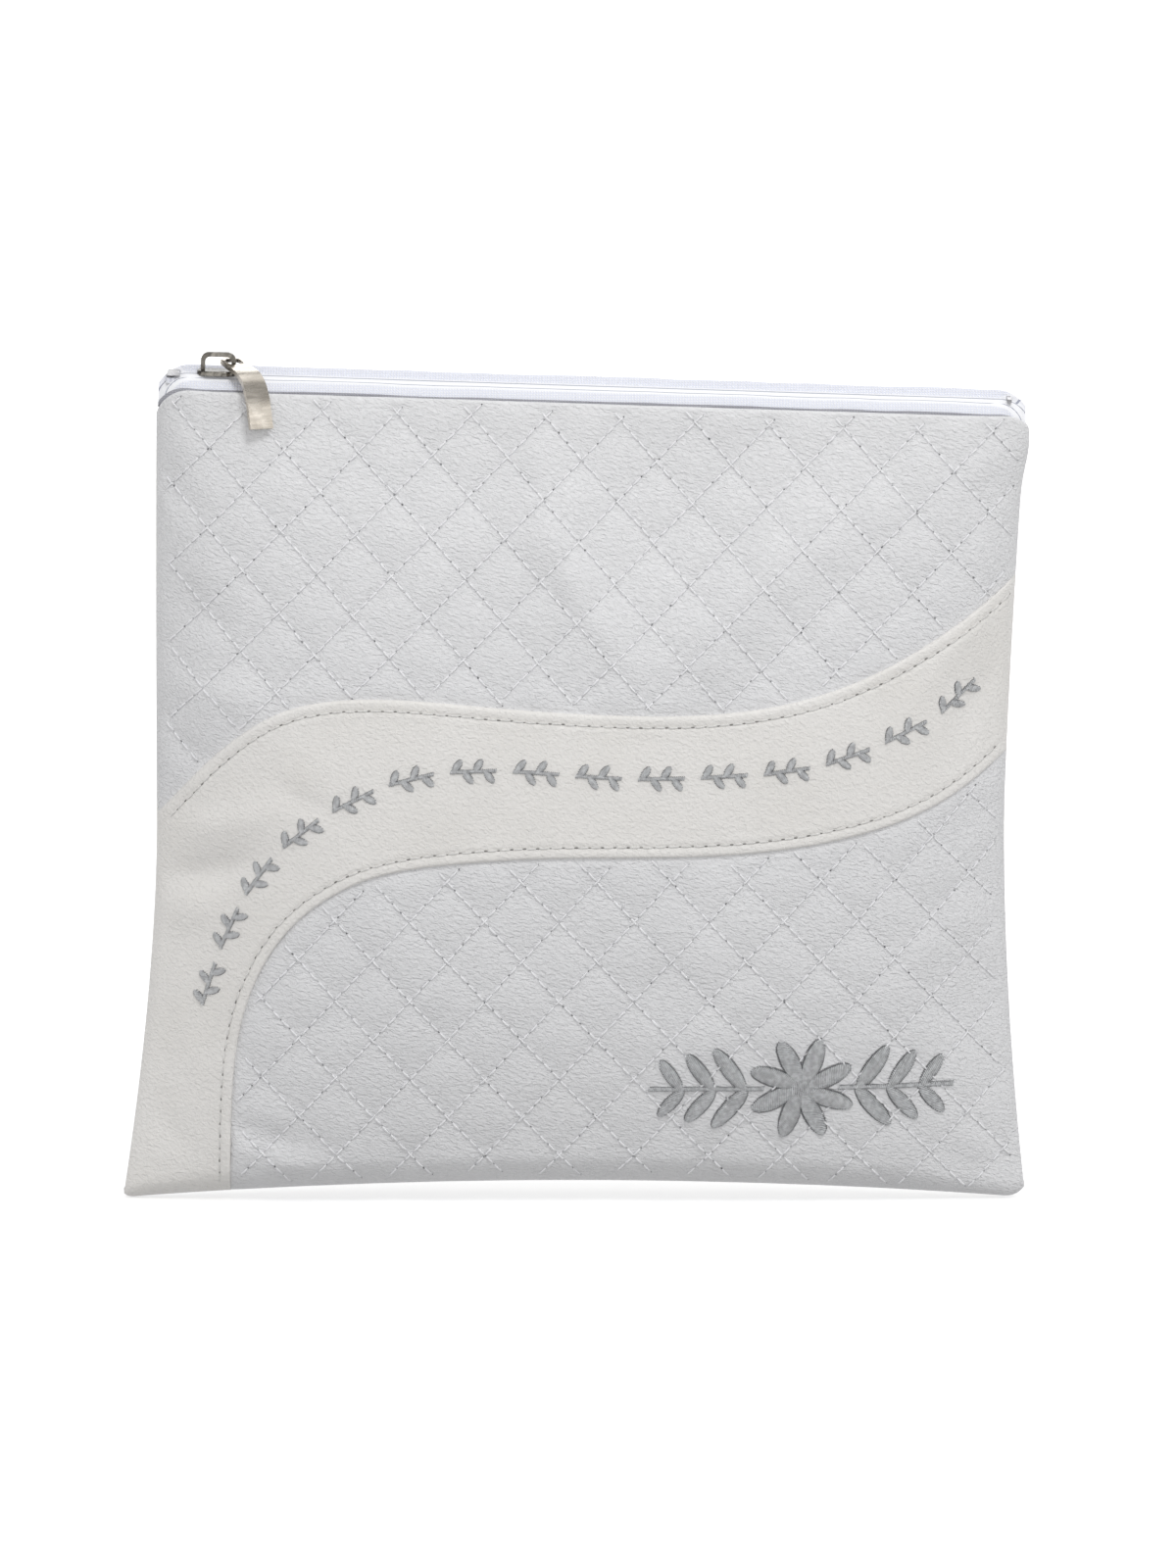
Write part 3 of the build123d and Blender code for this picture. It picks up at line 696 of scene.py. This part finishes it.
def patch(at, low, high, low_rows, high_rows, step):
    """(x, z) of a grid between the heights low(x) and high(x), conforming to the side seams."""
    tall = max(10.0, float(np.max(high(at) - low(at))))
    middle = np.linspace(0, 1, int(tall / step))[1:-1]
    kind = np.r_[np.zeros(len(low_rows)), np.ones(len(middle)), np.full(len(high_rows), 2)][:, None]
    value = np.r_[low_rows, middle, high_rows[::-1]][:, None]
    pull_left = np.clip((-100 - at) / 14.5, 0, 1)[None]
    pull_right = np.clip((at - 95) / 21.9, 0, 1)[None]
    z = np.repeat(np.full((1, len(at)), 100.0), len(kind), 0)
    for _ in range(6):
        x = at + (left_side(z) - WAIST_LEFT) * pull_left + (right_side(z) - WAIST_RIGHT) * pull_right
        lo, hi = low(x), high(x)
        room = np.maximum(hi - lo, 0.2)
        k = np.minimum(1, room / (1.4 * (low_rows[-1] + high_rows[-1])))
        bottom, top = lo + k * low_rows[-1], hi - k * high_rows[-1]
        z = np.where(kind == 0, lo + k * value, np.where(kind == 1, bottom + value * (top - bottom), hi - k * value))
    return x, z


def beside(line, shift):
    """The line moved sideways by shift, and its direction at each point."""
    way = np.gradient(line, axis=0)
    way = way / np.linalg.norm(way, axis=1, keepdims=True)
    return line + np.c_[-way[:, 1], way[:, 0]] * shift, way


def line_height(line, shift=0.0):
    """The height of a band edge over x, moved by shift across the edge."""
    moved, _ = beside(line, shift)
    order = np.argsort(moved[:, 0])
    return lambda x: np.interp(x, moved[order, 0], moved[order, 1])


def turned(grid, side, top=None, low=True, left=True):
    """Adds what can't be seen: the seam allowance turned inside at the sides, the foot and the mouth."""
    if low:
        rows = []
        for inward, deep in ((1.6, 0.06), (0.7, 0.12)):
            row = grid[0].copy()
            row[:, 2] += inward
            row[:, 1] = -side * np.minimum(deep, np.abs(row[:, 1]))
            rows.append(row)
        grid = np.concatenate([np.array(rows), grid], 0)
    if top is not None:
        rows = []
        for rise, inward in top:
            row = grid[-1].copy()
            row[:, 2] += rise
            row[:, 1] = -side * np.maximum(np.abs(row[:, 1]) - inward, 0.15)
            rows.append(row)
        grid = np.concatenate([grid, np.array(rows)], 0)
    for edge in (0, -1) if left else (-1,):
        cols = []
        for inward, deep in ((0.8, 0.12), (1.7, 0.06)):
            col = grid[:, edge].copy()
            col[:, 0] += inward if edge == 0 else -inward
            col[:, 1] = -side * np.minimum(deep, np.abs(col[:, 1]))
            cols.append(col[:, None])
        if edge == 0:
            grid = np.concatenate([*cols[::-1], grid], 1)
        else:
            grid = np.concatenate([grid, *cols], 1)
    return grid


def inner_skin(points, thickness, side):
    """The hidden face of a panel, a leather's thickness inside its outer face."""
    inner = points.copy()
    deep = np.abs(points[..., 1])
    inner[..., 1] = -side * np.maximum(deep - thickness, 0.45 * deep)
    return inner


# (rise, inward) of the leather as it folds over at the mouth and goes down inside
TOP_FOLD = [(0.35, 0.12), (0.62, 0.4), (0.72, 0.75), (0.62, 1.1), (0.3, 1.4), (-0.6, 1.6), (-3.0, 1.7)]


def mouth_line(x):
    return mouth(x) - 0.7


x, z = patch(columns(None, 0.7), line_height(top_line, -1.5), mouth_line, EDGE_ROWS[::2], MOUTH_ROWS, 0.7)
upper = turned(np.stack([x, -upper_depth(x, z), z], -1), 1, TOP_FOLD, low=False)
upper_panel = closed_skin("quilted_upper_panel", upper, inner_skin(upper, 1.0, 1))

start = bottom_line[np.searchsorted(bottom_line[:, 1], 1.0)][0]  # where the band's lower edge meets the foot
steep = bottom_line[(bottom_line[:, 1] > 1) & (bottom_line[:, 0] < -80)][::5, 0]
x, z = patch(
    columns(start + 0.05, 0.7, steep[2:]), foot, line_height(bottom_line, 1.5), FOOT_ROWS, EDGE_ROWS[::2], 0.7
)
lower = turned(np.stack([x, -lower_depth(x, z), z], -1), 1, left=False)
lower_panel = closed_skin("quilted_lower_panel", lower, inner_skin(lower, 1.0, 1))


def band_low(x):
    return np.where(x < start, foot(x), np.maximum(line_height(bottom_line)(x), foot(x)))


x, z = patch(columns(None, 0.85, steep), band_low, line_height(top_line), EDGE_ROWS, EDGE_ROWS, 0.9)
band = turned(np.stack([x, -band_depth(x, z), z], -1), 1, low=False)
band_panel = closed_skin("smooth_band", band, inner_skin(band, 1.3, 1))


x, z = patch(columns(None, 1.5), foot, mouth_line, FOOT_ROWS, MOUTH_ROWS, 1.6)
rear = turned(np.stack([x, skin_depth(x, z, 1), z], -1), -1, TOP_FOLD)
rear_panel = closed_skin("smooth_back_panel", rear, inner_skin(rear, 1.0, -1), True)

for made, node, paint, slot in (
    (upper_panel, "front_upper_panel", quilted, "quilted_leather"),
    (lower_panel, "front_lower_panel", quilted, "quilted_leather"),
    (band_panel, "front_band", smooth, "smooth_leather"),
    (rear_panel, "back_panel", backing, "back_leather"),
):
    dress(made, paint)
    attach(made, "pouch")
    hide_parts(node)

# -------------------------------- foam and lining
x, z = patch(columns(None, 6.0), lambda x: foot(x) + 4, lambda x: mouth(x) - 9, FOOT_ROWS[::4], MOUTH_ROWS[::3], 6.0)
for side, where, number in ((1, "front", 0), (-1, "back", 1)):
    deep = skin_depth(x, z, number)
    share = np.clip((mouth(x) + FOLD_DROP - z - 12) / 16, 0, 1)
    thick = 0.7 + 2.3 * (3 - 2 * share) * share**2
    out = np.maximum(deep - 1.9, 0.7)
    inn = np.maximum(out - thick, 0.45)
    foam = closed_skin(
        f"{where}_foam_layer", np.stack([x, -side * out, z], -1), np.stack([x, -side * inn, z], -1), side < 0
    )
    cloth = np.maximum(inn - 0.1, 0.35)
    lining = closed_skin(
        f"{where}_lining_cloth",
        np.stack([x, -side * cloth, z], -1),
        np.stack([x, -side * np.maximum(cloth - 0.4, 0.2), z], -1),
        side < 0,
    )
    for made, node, paint, slot in (
        (foam, f"{where}_foam", foam_paint.material, "foam"),
        (lining, f"{where}_lining", lining_paint, "lining"),
    ):
        dress(made, paint)
        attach(made, "pouch")
        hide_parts(node)


# -------------------------------- stitches
def sewn(name, at, way, depth, sink, thread_radius, hole, paints, pitch=STITCH):
    """A row or a field of stitches: threads between needle holes. at and way are in (x, z)."""
    half = pitch / 2 - 0.28
    a, b = at - way * half, at + way * half
    start = lift(depth, a[:, 0], a[:, 1], sink)
    end = lift(depth, b[:, 0], b[:, 1], sink)
    out = normals(skin_depth, at[:, 0], at[:, 1])
    verts, faces = strokes(start, end, out, thread_radius, np.full(len(at), 0.06), 0.24)
    holes = at + way * (pitch / 2)
    centre = lift(depth, holes[:, 0], holes[:, 1], sink + 0.06)
    along = lift(depth, holes[:, 0] + way[:, 0] * 0.4, holes[:, 1] + way[:, 1] * 0.4, sink + 0.06) - centre
    along = along / np.linalg.norm(along, axis=1, keepdims=True)
    pit_verts, pit_faces = pits(centre, out, along, *hole)
    faces = faces + (np.array(pit_faces) + len(verts)).tolist()
    made = dress(make_object(name, np.concatenate([verts, pit_verts]), faces), *paints)
    kinds = np.r_[np.zeros(len(faces) - len(pit_faces), int), np.ones(len(pit_faces), int)]
    made.data.polygons.foreach_set("material_index", kinds)
    return made


def quilting(name, quilt, inside, depth, seed):
    """Stitches along every quilting line inside a panel."""
    (cx, cz), (px, pz), tilt, _ = quilt
    side = math.hypot(px, pz) / 2
    reach = np.arange(-16, 17)
    at, way = [], []
    for family in (0, 1):
        for line in reach:
            along = (np.arange(-75, 76) + 0.5) * STITCH / side
            a, b = (np.full_like(along, line), along) if family == 0 else (along, np.full_like(along, line))
            rx, rz = (a + b) / 2 * px, (a - b) / 2 * pz
            x = cx + math.cos(tilt) * rx + math.sin(tilt) * rz
            z = cz - math.sin(tilt) * rx + math.cos(tilt) * rz
            step = np.array([x[1] - x[0], z[1] - z[0]])
            at.append(np.c_[x, z])
            way.append(np.repeat((step / np.linalg.norm(step))[None], len(x), 0))
    at, way = np.concatenate(at), np.concatenate(way)
    wobble = np.random.RandomState(seed).normal(0, 0.07, at.shape)
    keep = inside(at[:, 0], at[:, 1])
    paints = (white_thread, quilt_hole.material)
    return sewn(name, at[keep] + wobble[keep], way[keep], depth, 0.3, 0.25, (0.27, 0.2), paints)


def in_upper(x, z):
    clear = (z > line_height(top_line)(x) + 1.2) & (away(x, z, top_line) > 1.6)
    return clear & (z < mouth(x) - 1.8) & (from_side(x, z) > 3.4)


def in_lower(x, z):
    clear = (x > start) & (z < line_height(bottom_line)(x) - 1.2) & (away(x, z, bottom_line) > 1.6)
    return clear & (z > foot(x) + 3.2) & (x < right_side(z) - 3.4)


upper_thread = quilting("quilting_thread_upper", UPPER_QUILT, in_upper, upper_depth, 21)
lower_thread = quilting("quilting_thread_lower", LOWER_QUILT, in_lower, lower_depth, 22)


def topstitch(name, line, shift, seed):
    """The band's topstitching, beside its rim."""
    row, way = beside(line, shift)
    long = np.r_[0, np.cumsum(np.hypot(*np.diff(row, axis=0).T))]
    s = np.arange(1.0, long[-1] - 1, TOPSTITCH)
    x, z = np.interp(s, long, row[:, 0]), np.interp(s, long, row[:, 1])
    dx, dz = np.interp(s, long, way[:, 0]), np.interp(s, long, way[:, 1])
    keep = (from_side(x, z) > 2.6) & (z > foot(x) + 2.4)
    at = np.c_[x, z][keep] + np.random.RandomState(seed).normal(0, 0.05, (keep.sum(), 2))
    paints = (ivory_thread, needle.material)
    return sewn(name, at, np.c_[dx, dz][keep], band_depth, 0.08, 0.26, (0.5, 0.2), paints, TOPSTITCH)


upper_row = topstitch("band_topstitch_upper", top_line, -3.0, 23)
lower_row = topstitch("band_topstitch_lower", bottom_line, 3.0, 24)
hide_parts("band_stitch_upper")
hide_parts("band_stitch_lower")
for made in (upper_thread, lower_thread, upper_row, lower_row):
    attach(made, "pouch")


# -------------------------------- satin-stitch embroidery
class Satin:
    """Collects satin stitches that lie side by side across each shape."""

    def __init__(self, depth, seed):
        self.depth, self.random = depth, np.random.RandomState(seed)
        self.start, self.end, self.bow = [], [], []

    def shape(self, root, turn, long, wide, slant=28.0, blunt=False, gap=0.5):
        """A leaf, or with blunt a stem, from root towards turn (degrees)."""
        c, s = heading(turn)
        c2, s2 = heading(turn + 90 - slant)
        for t in (np.arange(int(long / gap)) + 0.5) / int(long / gap):
            half = wide / 2 * (1.0 if blunt else math.sqrt(max(0.02, 1 - (2 * t - 1) ** 2)))
            half = half / math.cos(math.radians(slant)) + self.random.uniform(-0.06, 0.1)
            x, z = root[0] + c * long * t, root[1] + s * long * t
            self.start.append((x - c2 * half, z - s2 * half))
            self.end.append((x + c2 * half, z + s2 * half))
            self.bow.append(0.16 + 0.17 * min(half, 3.0) + self.random.uniform(-0.05, 0.07))

    def make(self, name):
        a, b = np.array(self.start), np.array(self.end)
        start, end = lift(self.depth, a[:, 0], a[:, 1], 0.1), lift(self.depth, b[:, 0], b[:, 1], 0.1)
        middle = lift(self.depth, *((a + b) / 2).T, 0.1)
        sag = np.maximum(0, ((start + end) / 2 - middle)[:, 1])
        out = normals(skin_depth, *((a + b) / 2).T)
        verts, faces = strokes(start, end, out, 0.27, np.array(self.bow) + np.minimum(sag, 0.5), 0.22, 5)
        made = dress(make_object(name, verts, faces), silver, silver_end_shade)
        part = np.arange(len(faces)) // 5 % 6  # a thread has 6 segments of 5 faces, and then all the caps follow
        part[len(start) * 30 :] = 0
        # painted shade: the first and last segment of each thread take the dark end colour
        made.data.polygons.foreach_set("material_index", np.isin(part, (0, 5)).astype(int))
        return made


row = Satin(band_depth, 41)
path = smooth_line(ROW_PATH, 600)
SPRIGS = 15
for n in range(SPRIGS):
    at = (n + 0.5) / SPRIGS * 599
    k = int(at)
    here, ahead = path[k], path[min(k + 4, 599)] - path[max(k - 4, 0)]
    turn = math.degrees(math.atan2(ahead[1], ahead[0]))
    c, s = heading(turn)
    row.shape((here[0] - 6.2 * c, here[1] - 6.2 * s), turn, 12.4, 1.1, 20, True)
    for along, sign in ((-5.6, 1), (-2.8, -1), (0, 1), (2.8, -1)):
        row.shape((here[0] + along * c, here[1] + along * s), turn + 48 * sign, 4.0, 2.2, 25 * sign, gap=0.44)
sprigs = row.make("sprig_row")

motif = Satin(lower_depth, 42)
CENTRE = (60, 33.5)  # of the rosette
for sign in (-1, 1):
    motif.shape((CENTRE[0] + sign * 10, CENTRE[1]), 0 if sign > 0 else 180, 31, 1.4, 25, True)
    for n in range(3):
        for lean in (90 - sign * 38, -(90 - sign * 38)):
            motif.shape((CENTRE[0] + sign * (15 + 8.5 * n), CENTRE[1]), lean, 14 - 2 * n, 5.0 - 0.5 * n, 25 * sign)
for n in range(8):
    turn = 45 * n + 22.5
    c, s = heading(turn)
    motif.shape((CENTRE[0] + 1.5 * c, CENTRE[1] + 1.5 * s), turn, 13.0, 5.8, 22)
motif.shape((CENTRE[0] - 3.2, CENTRE[1]), 0, 6.4, 6.4, 0)
rosette = motif.make("corner_rosette")
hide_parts("band_embroidery")
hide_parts("corner_embroidery")
for made in (sprigs, rosette):
    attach(made, "pouch")


# -------------------------------- zip tapes
# outer face, then inner face: a bead over the coil, a sewn groove, then ribs down into the pouch
TAPE_FRONT = (
    [
        (0.5, -0.66), (0.42, -0.3), (0.5, 0.08), (0.8, 0.34), (1.4, 0.44), (2.0, 0.32), (2.6, 0.04), (3.0, -0.22),
        (3.15, -0.4), (3.3, -0.38), (3.6, -0.34), (3.95, -0.56), (4.3, -0.68), (4.6, -0.98), (4.9, -1.1),
        (5.2, -1.42), (5.5, -1.58), (5.8, -1.94), (6.05, -2.2), (6.3, -2.62), (6.42, -2.9), (6.5, -3.6), (6.6, -8.0),
    ],
    [(6.2, -8.0), (6.1, -4.3), (5.8, -3.2), (5.1, -2.2), (4.3, -1.5), (3.0, -0.9)],
)  # fmt: skip
TAPE_BACK = (
    [
        (0.5, -0.66), (0.42, -0.3), (0.5, 0.08), (0.8, 0.34), (1.4, 0.48), (2.0, 0.46), (2.6, 0.26), (2.95, -0.06),
        (3.15, -0.16), (3.35, -0.04), (3.65, 0.12), (4.0, 0.02), (4.4, 0.1), (4.8, 0.06), (5.1, 0.3), (5.35, 0.8),
        (5.55, 1.35), (5.8, 1.8), (6.1, 2.1), (6.45, 2.1), (6.7, 1.7), (6.8, 0.8), (6.8, -3.6), (6.8, -8.0),
    ],
    [
        (6.4, -8.0), (6.35, -3.6), (6.3, 0.9), (6.1, 1.3), (5.8, 0.9), (5.6, 0.3), (5.3, -0.4),
        (4.6, -0.7), (3.0, -0.66),
    ],
)  # fmt: skip


def tape(name, side, profile):
    """One woven tape half: its profile of (distance from the middle, height) pairs, swept along the zip."""
    y, w = np.array(profile[0] + profile[1]).T
    xs = np.r_[np.arange(-112.0, -104, 0.6), np.arange(-104, 110, 1.6), np.arange(110, 120.0, 0.6)]
    verts = []
    for x in xs:
        drop = corner(np.array(x + 113.6), 10.0) + corner(np.array(121.4 - x), 9.0)
        room = float(half_depth(np.array(x), np.array(214 - x * SLOPE)))
        squeeze = min(1.0, max(0.18, (room - 1.0) / 7.6))
        wave = 0.16 * float(field(np.array(x), np.array(side * 9.0), 9, 51))
        yy = np.maximum(y * np.where(y > 1.2, squeeze, 1), 0.4)
        ww = w + wave * np.clip((y - 1) / 3, 0, 1)
        deep = min(1.0, max(0.0, (x + 113.2) / 5), max(0.0, (120.2 - x) / 5))
        ww = np.where(ww < -3, -3 + (ww + 3) * deep, ww)
        base_z = MOUTH - x * SLOPE - drop
        verts.append(np.c_[x + ww * math.sin(ZIP_TILT), -side * yy, base_z + ww * math.cos(ZIP_TILT)])
    verts = np.array(verts)
    rows, cols = verts.shape[:2]
    faces = grid_faces(rows, cols, 0, side < 0, True)
    ends = [list(range(cols)), [(rows - 1) * cols + c for c in range(cols - 1, -1, -1)]]
    faces += [e[::-1] if side < 0 else e for e in ends]
    made = dress(make_object(name, verts.reshape(-1, 3), faces), tape_paint, fold_shade_paint)
    # painted shade: where the front tape goes down into the fold, its rows take the darker fold-shade copy of the
    # tape material
    fold_shade_rows = [int(side > 0 and len(f) == 4 and 20 <= f[0] % cols <= 25) for f in faces]
    made.data.polygons.foreach_set("material_index", fold_shade_rows)
    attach(made, "pouch")
    return made


front_tape = tape("woven_tape_front", 1, TAPE_FRONT)
rear_tape = tape("woven_tape_back", -1, TAPE_BACK)
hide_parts("zip_tape_front")
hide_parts("zip_tape_back")

# -------------------------------- hard parts keep their CAD shape
for node, paint in (
    ("zip_coil_front", nylon.material),
    ("zip_coil_back", nylon.material),
    ("zip_top_stop", chrome),
    ("zip_bottom_stop", steel),
    ("slider_body", nickel),
    ("slider_crown", nickel),
    ("puller_tab", satin),
):
    dress(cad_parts[node], paint)

# -------------------------------- floor, light and camera
floor_paint = Paint("pale_floor", colour(0.92, 0.92, 0.92), 0.7, Emission_Color=colour(1, 1, 1))
tone = floor_paint.noise(3)
# painted shade: the floor glows less near the pouch, a dimmer pool standing in for its contact shadow
reach = floor_paint.node("ShaderNodeVectorMath", operation="LENGTH")
floor_paint.link(floor_paint.place, reach.inputs[0])
floor_paint.into("Emission Strength", floor_paint.spread(reach.outputs["Value"], 0.25, 1.2, 0.36, 0.66))
floor_paint.into("Base Color", floor_paint.mix(tone, colour(0.93, 0.93, 0.93), colour(0.91, 0.91, 0.915)))
WALL, BEND = 3600, 600  # the floor turns up behind the pouch
sweep = [(y, 0.0) for y in np.linspace(-5000, WALL, 12)]
for turn in np.radians(np.linspace(0, 90, 12)[1:]):
    sweep.append((WALL + BEND * math.sin(turn), BEND - BEND * math.cos(turn)))
sweep.append((WALL + BEND, 4000))
xs = np.linspace(-6000, 6000, 9)
points = np.array([[(x, y, z) for x in xs] for y, z in sweep])
floor = dress(make_object("floor", points.reshape(-1, 3), grid_faces(len(sweep), 9)), floor_paint.material)
floor.visible_diffuse = False

world = bpy.data.worlds.new("studio")
world.use_nodes = True
world.node_tree.nodes["Background"].inputs["Color"].default_value = colour(1, 1, 1)
world.node_tree.nodes["Background"].inputs["Strength"].default_value = 0.44
scene.world = world


def softbox(name, place, size, power, aim=(0, 0, 0.1)):
    data = bpy.data.lights.new(name, "AREA")
    data.shape, data.size, data.energy = "SQUARE", size, power
    made = bpy.data.objects.new(name, data)
    made.location = place
    made.rotation_euler = (Vector(aim) - Vector(place)).to_track_quat("-Z", "Y").to_euler()
    scene.collection.objects.link(made)


softbox("key", (0.3, -1.1, 1.5), 0.5, 9.6)
softbox("fill", (-0.3, -2.5, 0.5), 2.0, 8)
softbox("left side", (-2.0, -0.7, 0.6), 1.2, 6)
softbox("right side", (2.0, -0.7, 0.6), 1.2, 7)
softbox("behind", (0.6, 2.6, 1.3), 1.2, 13.5)
softbox("top", (0, 0.3, 1.9), 1.6, 8, (0, 0, 0))

camera = bpy.data.objects.new("camera", bpy.data.cameras.new("camera"))
camera.data.lens = 239.5
camera.data.clip_end = 50
aim = Vector((0.0027, -0.004, 0.1141))
elevation = math.radians(9.8)
distance = 2.8
camera.location = aim + Vector((0, -math.cos(elevation), math.sin(elevation))) * distance
camera.rotation_euler = (aim - camera.location).to_track_quat("-Z", "Y").to_euler()
scene.collection.objects.link(camera)
scene.camera = camera
